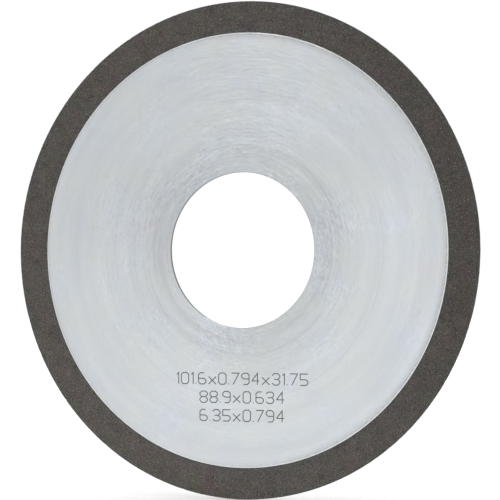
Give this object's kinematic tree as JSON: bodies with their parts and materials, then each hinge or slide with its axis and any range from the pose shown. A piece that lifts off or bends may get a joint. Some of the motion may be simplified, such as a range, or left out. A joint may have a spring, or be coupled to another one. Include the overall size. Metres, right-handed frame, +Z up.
{
  "type": "diamond cut-off wheel",
  "caption": "Thin diamond cut-off wheel: a ground steel disc with a large plain bore and a moulded rim of diamond grit and resin that stands slightly proud of it.",
  "frame": {"origin": "middle of the bore, halfway through the wheel's thickness", "axes": "the wheel stands upright and turns about +Y, the marked face looks towards -Y, and +Z is up"},
  "size_m": [0.1016, 0.0008, 0.1016],
  "materials": {
    "core_steel": "surface ground in fine rings, satin",
    "bond_resin": "cured phenolic primer, reddish brown, matt",
    "abrasive": "dark brown-grey resin full of diamond grit, matt and speckled"
  },
  "bodies": {
    "root": {"steel_core": "core_steel", "bond_film": "bond_resin", "abrasive_rim": "abrasive"}
  },
  "joints": []
}
